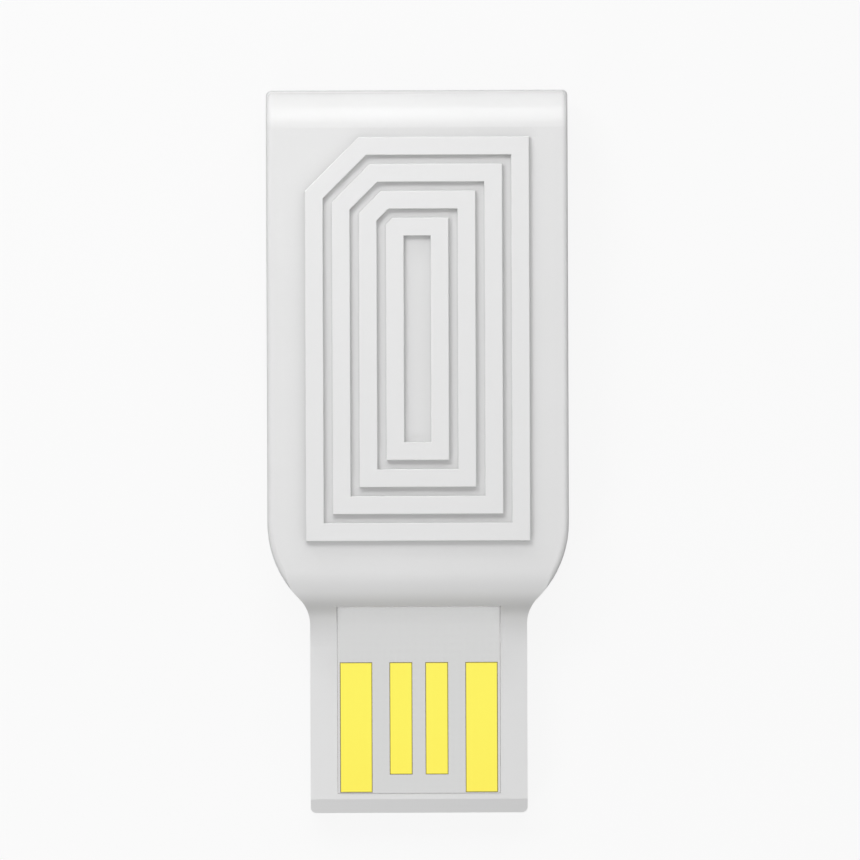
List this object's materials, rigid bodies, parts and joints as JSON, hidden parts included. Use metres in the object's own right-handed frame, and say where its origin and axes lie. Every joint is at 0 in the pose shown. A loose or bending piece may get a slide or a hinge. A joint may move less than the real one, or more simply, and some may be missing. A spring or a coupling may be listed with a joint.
{
  "type": "usb bluetooth adapter",
  "caption": "Slim white adapter with a plug in one piece with its case, a nested ring relief on the front, a round end, and a bare circuit board with gold contacts in the plug's window.",
  "frame": {"origin": "middle of the flat back, halfway along the case and halfway across it", "axes": "+Y along the case, from the plug's tip to the round end; +Z out of the front face, the way the contacts face; +X to the right when the front is seen with the round end up"},
  "size_m": [0.0168, 0.0404, 0.0046],
  "materials": {
    "cover_plastic": "white, fine satin moulding",
    "board_laminate": "light grey solder mask",
    "contact_gold": "gold plating",
    "chip_resin": "black moulding resin",
    "crystal_lid": "plated lid on a ceramic base",
    "capacitor_ceramic": "fired ceramic with tinned ends",
    "resistor_ceramic": "dark glaze with tinned ends",
    "antenna_ceramic": "pale fired ceramic with silvered ends"
  },
  "bodies": {
    "root": {"front_cover": "cover_plastic", "rear_cover": "cover_plastic", "circuit_board": "board_laminate", "contact_power": "contact_gold", "contact_data_minus": "contact_gold", "contact_data_plus": "contact_gold", "contact_ground": "contact_gold", "radio_chip": "chip_resin", "memory_chip": "chip_resin", "surge_protector": "chip_resin", "voltage_regulator": "chip_resin", "crystal": "crystal_lid", "supply_bead": "resistor_ceramic", "input_capacitor": "capacitor_ceramic", "output_capacitor": "capacitor_ceramic", "data_minus_resistor": "resistor_ceramic", "data_plus_resistor": "resistor_ceramic", "crystal_load_capacitor_left": "capacitor_ceramic", "crystal_load_capacitor_right": "capacitor_ceramic", "decoupling_capacitor_1": "capacitor_ceramic", "decoupling_capacitor_2": "capacitor_ceramic", "decoupling_capacitor_3": "capacitor_ceramic", "antenna_coil": "capacitor_ceramic", "antenna_capacitor": "capacitor_ceramic", "chip_antenna": "antenna_ceramic"}
  },
  "joints": []
}
